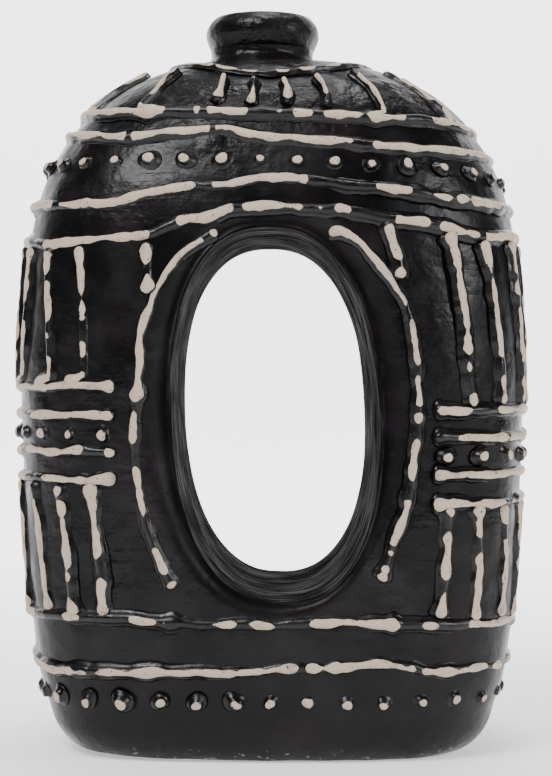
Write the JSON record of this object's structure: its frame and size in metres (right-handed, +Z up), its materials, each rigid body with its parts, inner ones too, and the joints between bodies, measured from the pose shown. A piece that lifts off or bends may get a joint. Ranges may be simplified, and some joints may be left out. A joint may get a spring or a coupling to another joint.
{
  "type": "pierced clay vase",
  "caption": "Black clay vase with an oval window through its body, a short rolled neck and raised slip lines and dots",
  "frame": {"origin": "middle of the flat resting face", "axes": "+Z up through the neck, the front with the clearer side of the window faces -Y, +X to the right seen from the front"},
  "size_m": [0.177, 0.1192, 0.2512],
  "materials": {
    "burnished_clay": "burnished, satin to glossy black",
    "brushed_clay": "brushed satin black with streaks across the tunnel",
    "cream_slip": "raised slip, matte cream crests on black sides"
  },
  "bodies": {
    "root": {"arch_ring": "cream_slip", "back_window_frame": "cream_slip", "base_slab": "burnished_clay", "front_window_frame": "cream_slip", "left_band_bottom_line": "cream_slip", "left_band_dots": "cream_slip", "left_band_top_line": "cream_slip", "left_lower_bars": "cream_slip", "left_panel_head": "cream_slip", "left_panel_sill": "cream_slip", "left_pillar": "burnished_clay", "left_upper_bars": "cream_slip", "lower_dots": "cream_slip", "lower_ring": "cream_slip", "lower_wall": "burnished_clay", "mouth_lip": "burnished_clay", "neck_collar": "burnished_clay", "neck_cordon": "cream_slip", "panel_base_line": "cream_slip", "panel_top_line": "cream_slip", "right_band_bottom_line": "cream_slip", "right_band_dots": "cream_slip", "right_band_top_line": "cream_slip", "right_lower_bars": "cream_slip", "right_panel_head": "cream_slip", "right_panel_sill": "cream_slip", "right_pillar": "burnished_clay", "right_upper_bars": "cream_slip", "shoulder_dome": "burnished_clay", "shoulder_rays": "cream_slip", "shoulder_ring": "cream_slip", "tunnel_wall": "brushed_clay", "upper_dots": "cream_slip", "upper_ring": "cream_slip", "upper_wall": "burnished_clay"}
  },
  "joints": []
}
